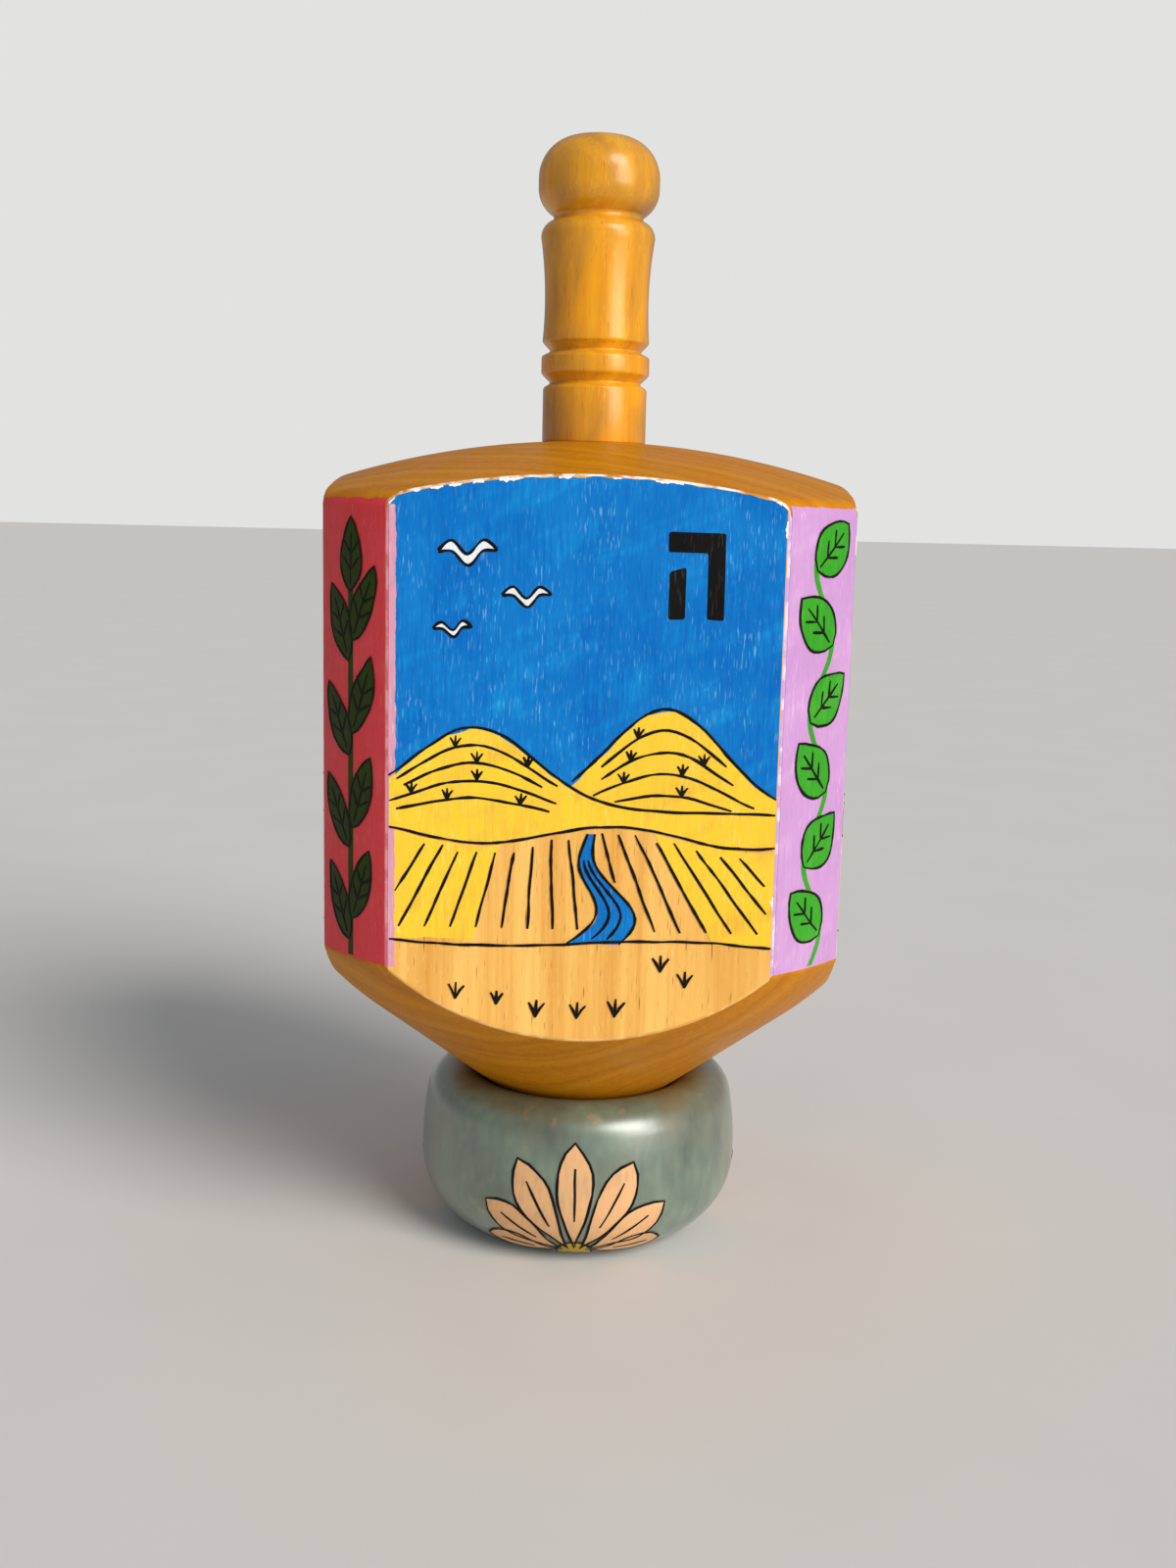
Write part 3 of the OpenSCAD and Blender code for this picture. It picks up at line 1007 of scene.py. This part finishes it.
for side in range(4):
    outer = half_mm - fillet
    along = steps_between(-outer, outer, 0.2)
    reaches = [(u, band_reach(u, side, 0.06 if u * leans[side] < 4 else -0.1, 0.5)) for u in along]
    for run in runs(reaches, band_shows):
        upper = [(u, arch_top(u) - 0.18) for u, reach in run]
        lower = [(u, arch_top(u) - fillet - reach) for u, reach in reversed(run)]
        gather(white_band_shell, lay_on_flat(paint_coat(upper + lower, band_lift), side))
    up = steps_between(strip_low, strip_high + 0.3, 0.3)
    for s in (-1, 1):
        pink_here = (s < 0) == (side % 2 == 0)
        base, sway = (0.75, 0.16) if pink_here else (-0.1, 0.45)
        reaches = [(v, band_reach(v, side + 5 * s, base, sway)) for v in up]
        for run in runs(reaches, band_shows):
            rim = [(s * outer, v) for v, reach in run]
            inside = [(s * (outer - reach), v) for v, reach in reversed(run)]
            band = lay_on_flat(paint_coat(rim + inside, band_lift), side)
            gather(pink_shell if pink_here else white_band_shell, band)
# Band colours: partly the pale first coat and chips, partly a painted highlight on the rounded edges.
chips_and_highlight = brushed_paint("first_coat_white_and_highlight", (250, 248, 244), (232, 222, 216), (255, 254, 250), 0.7, 0.4)
pink = brushed_paint("first_coat_pink_and_highlight", (226, 164, 186), (206, 136, 154), (242, 206, 220), 0.8, 0.5)
paintwork("arris_bands_white_and_highlight", white_band_shell, chips_and_highlight)
paintwork("arris_bands_pink_and_highlight", pink_shell, pink)

# Handle: a spindle turned from one stick, with a foot, a ring between two cut grooves, a hollow-sided barrel
# and a knob. A tenon under its foot is glued into the body. It is varnished amber and darkened by fingers.
handle_low, handle_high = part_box("handle")
knob_r = handle_high.x
tenon_z = handle_low.z
tenon_r = 4.5 * mm
tenon_bevel = 0.8 * mm
foot_r = 6.4 * mm
foot_h = 6.6 * mm
ring_r = 6.65 * mm
ring_h = 2.1 * mm
groove_r = 5.5 * mm
groove_low_h = 0.6 * mm
groove_h = 1.7 * mm
waist_r = 6.35 * mm
waist_h = 4.7 * mm
barrel_h = 12.4 * mm
hollow_r = 50 * mm
shoulder_r = 2 * mm
neck_r = 5.45 * mm
neck_h = 0.6 * mm
knob_low_r = 3.6 * mm
knob_band_h = 1.2 * mm
knob_top_r = 4.85 * mm
handle_edge_round = 0.22 * mm
handle_steps = 128

foot_z = land_z + foot_h
ring_low_z = foot_z + groove_h
ring_high_z = ring_low_z + ring_h
barrel_z = ring_high_z + groove_h
hollow_centre = (waist_r + hollow_r, barrel_z + waist_h)
hollow_low = pi + asin(waist_h / hollow_r)
hollow_high = pi - asin((barrel_h - waist_h) / hollow_r)
shoulder_centre = (hollow_centre[0] + hollow_r * cos(hollow_high) - shoulder_r, barrel_z + barrel_h)
shoulder_angle = acos((neck_r - shoulder_centre[0]) / shoulder_r)
neck_z = shoulder_centre[1] + shoulder_r * sin(shoulder_angle)
knob_low_centre_r = knob_r - knob_low_r
knob_low_angle = -acos((neck_r - knob_low_centre_r) / knob_low_r)
knob_low_centre = (knob_low_centre_r, neck_z + neck_h - knob_low_r * sin(knob_low_angle))
knob_top_centre = (knob_r - knob_top_r, knob_low_centre[1] + knob_band_h)
handle_outline = [
    (0, tenon_z), (tenon_r - tenon_bevel, tenon_z), (tenon_r, tenon_z + tenon_bevel), (tenon_r, land_z),
    (foot_r, land_z), (foot_r, foot_z), (groove_r, foot_z + groove_low_h),
    (ring_r, ring_low_z), (ring_r, ring_high_z), (groove_r, ring_high_z + groove_low_h),
    *arc(hollow_centre, hollow_r, hollow_low, hollow_high, 16),
    *arc(shoulder_centre, shoulder_r, 0, shoulder_angle, 10)[1:],
    *arc(knob_low_centre, knob_low_r, knob_low_angle, 0, 16),
    *arc(knob_top_centre, knob_top_r, 0, quarter, 18),
    (0, handle_high.z),
]
handle_shell = turn_on_lathe(handle_outline, handle_steps)
soften_edges(handle_shell, radians(24), handle_edge_round)
handle_wood = wood(
    "handle_amber_wood", (250, 178, 24), (220, 138, 6), (150, 86, 12), (255, 206, 84), 0.7, 0.1,
    smudge=(140, 110, 56), smudge_share=0.72,
)
handle = make_piece("turned_handle", handle_shell, [handle_wood], "dreidel")
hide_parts("handle")

# Floor: a plain pale studio floor that takes the shadow. It is no part of the object.
floor_shell = bmesh.new()
bmesh.ops.create_grid(floor_shell, x_segments=1, y_segments=1, size=6)
floor_mesh = bpy.data.meshes.new("floor")
floor_shell.to_mesh(floor_mesh)
floor_shell.free()
floor_paint, floor_tree, floor_skin, floor_spot = varnished("pale_floor", 0.0, 0.1)
mottle = put(floor_tree, "TexNoise", {"Vector": floor_spot, "Scale": 30, "Detail": 3}).outputs[0]
floor_shade = mixed(floor_tree, mottle, colour(222, 221, 219), colour(228, 227, 225))
floor_tree.links.new(floor_shade, floor_skin.inputs["Base Color"])
floor_tree.links.new(spread(floor_tree, mottle, 0, 1, 0.7, 0.9), floor_skin.inputs["Roughness"])
floor_mesh.materials.append(floor_paint)
floor = add_object("floor", floor_mesh)

# Light: a tall soft window on the right, as in the photograph, and an even pale room round it.
# Two lamps stand for the window, each with a turn from the front and a height in degrees, and a strength.
window_size = radians(30)
room_strength = 0.3
for name, turn, height, energy in (("window_top", 42, 34, 2.3), ("window_foot", 48, 8, 1.3)):
    lamp_data = bpy.data.lights.new(name, "SUN")
    lamp_data.angle = window_size
    lamp_data.energy = energy
    lamp_data.color = (1.0, 0.96, 0.9)
    add_object(name, lamp_data).rotation_euler = (radians(90 - height), 0, radians(turn))

world = bpy.data.worlds.new("room")
bpy.context.scene.world = world
world.use_nodes = True
room = world.node_tree
room_light = room.nodes["Background"]
room_light.inputs["Color"].default_value = (0.93, 0.96, 1.0, 1)
room_light.inputs["Strength"].default_value = room_strength
backdrop = put(room, "Background", {"Color": colour(226, 226, 225), "Strength": 1.0})
ray = put(room, "LightPath", {}).outputs
seen = put(
    room, "Math", {0: ray["Is Camera Ray"], 1: ray["Is Transmission Ray"]}, operation="MAXIMUM"
).outputs[0]
chosen = put(room, "MixShader", {0: seen, 1: room_light.outputs[0], 2: backdrop.outputs[0]})
room.links.new(chosen.outputs[0], room.nodes["World Output"].inputs["Surface"])

# Camera: in front of one flat, a little to the right and above the middle, as the photograph was taken.
image_h = 1600
focal_px = 1700
camera_place = Vector((2.385, -211.06, 92.379)) * mm
pitch, roll, pan = 0.163, -0.0228, -0.01
ahead = Vector((sin(pan) * cos(pitch), cos(pan) * cos(pitch), -sin(pitch)))
level = ahead.cross(Vector((0, 0, 1))).normalized()
down = ahead.cross(level)
to_right = cos(roll) * level + sin(roll) * down
to_below = cos(roll) * down - sin(roll) * level
camera_data = bpy.data.cameras.new("camera")
camera_data.sensor_width = 36
camera_data.lens = camera_data.sensor_width * focal_px / image_h
camera_data.clip_start = 0.01
camera = add_object("camera", camera_data)
aim = Matrix((to_right, -to_below, -ahead)).transposed().to_4x4()
camera.matrix_world = Matrix.Translation(camera_place) @ aim
bpy.context.scene.camera = camera
